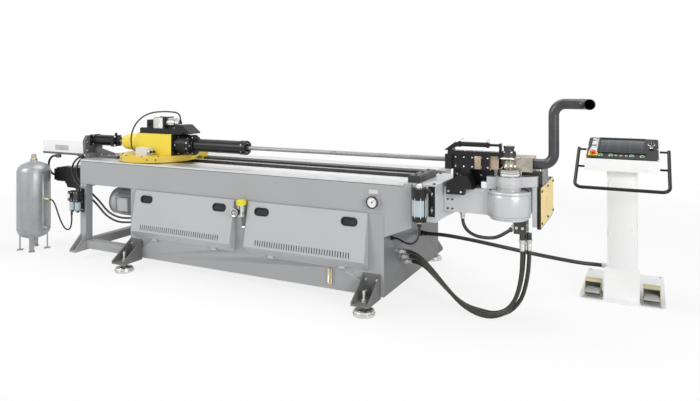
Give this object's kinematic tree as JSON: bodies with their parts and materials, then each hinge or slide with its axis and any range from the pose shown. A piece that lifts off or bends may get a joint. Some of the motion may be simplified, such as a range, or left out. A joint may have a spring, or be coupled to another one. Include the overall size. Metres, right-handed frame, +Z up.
{
  "type": "pipe bending machine",
  "caption": "Mandrel pipe bending machine: long bed with rails and feed carriage, rotary bending head with swing arm, drop-front cabinet, air tank and operator console.",
  "frame": {"origin": "floor level under the centre of the whole machine's footprint, tank and console included", "axes": "+X along the pipe from the mandrel end to the bending head, +Y away from the cabinet doors, +Z up"},
  "size_m": [5.6823, 1.8828, 1.506],
  "materials": {
    "bed_paint": "satin",
    "cabinet_paint": "satin",
    "frame_paint": "satin",
    "rail_steel": "ground",
    "zinc_steel": "zinc plated",
    "motor_paint": "semi-gloss",
    "pump_iron": "painted",
    "gauge_steel": "polished",
    "safety_yellow": "gloss",
    "black_plastic": "matte",
    "black_steel": "satin black",
    "tool_steel": "ground",
    "arm_paint": "satin",
    "pipe_steel": "mill finish",
    "cover_paint": "satin",
    "filter_black": "matte",
    "filter_bowl": "clear tinted",
    "tank_paint": "semi-gloss",
    "console_paint": "satin",
    "button_green": "gloss",
    "stop_red": "gloss",
    "knob_grey": "matte",
    "rail_black": "satin black",
    "pedal_yellow": "satin",
    "pedal_grey": "ribbed",
    "hose_rubber": "matte"
  },
  "bodies": {
    "machine": {"bed_beam": "bed_paint", "head_bolster": "bed_paint", "head_beam": "bed_paint", "drum_housing": "bed_paint", "cabinet_shell": "cabinet_paint", "foot_brackets": "frame_paint", "end_stand": "frame_paint", "mandrel_support": "frame_paint", "feed_motor": "frame_paint", "guide_rails": "rail_steel", "levelling_feet": "zinc_steel", "pump_motor": "motor_paint", "hydraulic_pump": "pump_iron", "oil_gauges": "gauge_steel", "filler_breather": "safety_yellow", "control_panel": "black_plastic", "swivel_manifold": "black_steel", "wiper_die": "black_steel", "tie_cylinder": "black_steel", "mandrel_cylinder": "black_steel", "pipe_tail": "pipe_steel", "mandrel_cover": "cover_paint", "left_filter_unit": "filter_black", "right_filter_unit": "filter_bowl", "air_tank": "tank_paint", "console_stand": "console_paint", "console_box": "console_paint", "handrail": "rail_black", "pedal_guards": "pedal_yellow", "hydraulic_hoses": "hose_rubber", "control_conduit": "hose_rubber", "air_hoses": "hose_rubber"},
    "carriage": {"carriage_plate": "safety_yellow", "carriage_gearbox": "safety_yellow", "spindle_drive": "black_steel", "cable_junction": "black_plastic", "carriage_cable": "hose_rubber"},
    "chuck": {"chuck_collar": "black_steel", "nose_tube": "black_steel"},
    "collet": {"collet": "tool_steel"},
    "mandrel": {"mandrel_rod": "tool_steel"},
    "arm": {"arm_casting": "arm_paint", "arm_side_plate": "black_steel", "arm_guard": "safety_yellow", "bend_die": "tool_steel", "die_post": "black_steel", "sample_pipe": "pipe_steel"},
    "clamp": {"clamp_slide": "black_steel", "clamp_die": "tool_steel"},
    "pressure_slide": {"pressure_slide": "black_steel"},
    "pressure_die": {"pressure_die": "tool_steel"},
    "tie_bar": {"tie_bar": "black_steel"},
    "door_left": {"door_left": "cabinet_paint"},
    "door_right": {"door_right": "cabinet_paint"},
    "valve_knob": {"valve_knob": "black_plastic"},
    "pedal_left": {"pedal_left": "pedal_grey"},
    "pedal_right": {"pedal_right": "pedal_grey"},
    "push_buttons": {"push_buttons": "button_green"},
    "emergency_stop": {"emergency_stop": "stop_red"},
    "selector_knob": {"selector_knob": "knob_grey"}
  },
  "joints": [
    {"name": "carriage_travel", "type": "slide", "parent": "machine", "child": "carriage", "axis": [1, 0, 0], "range_m": [0, 1.7]},
    {"name": "chuck_turn", "type": "hinge", "parent": "carriage", "child": "chuck", "pos_m": [-0.99125, -0.4235, 1.06], "axis": [1, 0, 0], "continuous": true},
    {"name": "collet_draw", "type": "slide", "parent": "chuck", "child": "collet", "axis": [-1, 0, 0], "range_m": [0, 0.01]},
    {"name": "mandrel_draw", "type": "slide", "parent": "machine", "child": "mandrel", "axis": [-1, 0, 0], "range_m": [0, 0.06]},
    {"name": "bend_turn", "type": "hinge", "parent": "machine", "child": "arm", "pos_m": [1.83875, -0.4995, 0.94], "axis": [0, 0, -1], "range_deg": [0, 180]},
    {"name": "clamp_open", "type": "slide", "parent": "arm", "child": "clamp", "axis": [0, 1, 0], "range_m": [0, 0.06]},
    {"name": "pressure_open", "type": "slide", "parent": "machine", "child": "pressure_slide", "axis": [0, 1, 0], "range_m": [0, 0.05]},
    {"name": "pressure_follow", "type": "slide", "parent": "pressure_slide", "child": "pressure_die", "axis": [-1, 0, 0], "range_m": [0, 0.15]},
    {"name": "tie_draw", "type": "slide", "parent": "machine", "child": "tie_bar", "axis": [-1, 0, 0], "range_m": [0, 0.06]},
    {"name": "door_left_hinge", "type": "hinge", "parent": "machine", "child": "door_left", "pos_m": [-0.81325, -0.7315, 0.257], "axis": [1, 0, 0], "range_deg": [0, 65]},
    {"name": "door_right_hinge", "type": "hinge", "parent": "machine", "child": "door_right", "pos_m": [0.36675, -0.7315, 0.257], "axis": [1, 0, 0], "range_deg": [0, 65]},
    {"name": "valve_turn", "type": "hinge", "parent": "machine", "child": "valve_knob", "pos_m": [-0.21625, -0.8035, 0.6], "axis": [0, 1, 0], "continuous": true},
    {"name": "pedal_left_press", "type": "hinge", "parent": "machine", "child": "pedal_left", "pos_m": [2.31375, 0.3405, 0.0463], "axis": [1, 0, 0], "range_deg": [0, 7], "stiffness_Nm_per_rad": 20, "springref_deg": -11.46},
    {"name": "pedal_right_press", "type": "hinge", "parent": "machine", "child": "pedal_right", "pos_m": [2.71375, 0.3405, 0.0463], "axis": [1, 0, 0], "range_deg": [0, 7], "stiffness_Nm_per_rad": 20, "springref_deg": -11.46},
    {"name": "buttons_press", "type": "slide", "parent": "machine", "child": "push_buttons", "axis": [0, 0.3052, -0.9523], "range_m": [0, 0.002], "stiffness_N_per_m": 400, "springref_m": -0.002},
    {"name": "stop_press", "type": "slide", "parent": "machine", "child": "emergency_stop", "axis": [0, 0.3052, -0.9523], "range_m": [0, 0.004]},
    {"name": "selector_turn", "type": "hinge", "parent": "machine", "child": "selector_knob", "pos_m": [2.71125, 0.45266, 1.13551], "axis": [0, -0.3052, 0.9523], "range_deg": [-45, 45]}
  ]
}
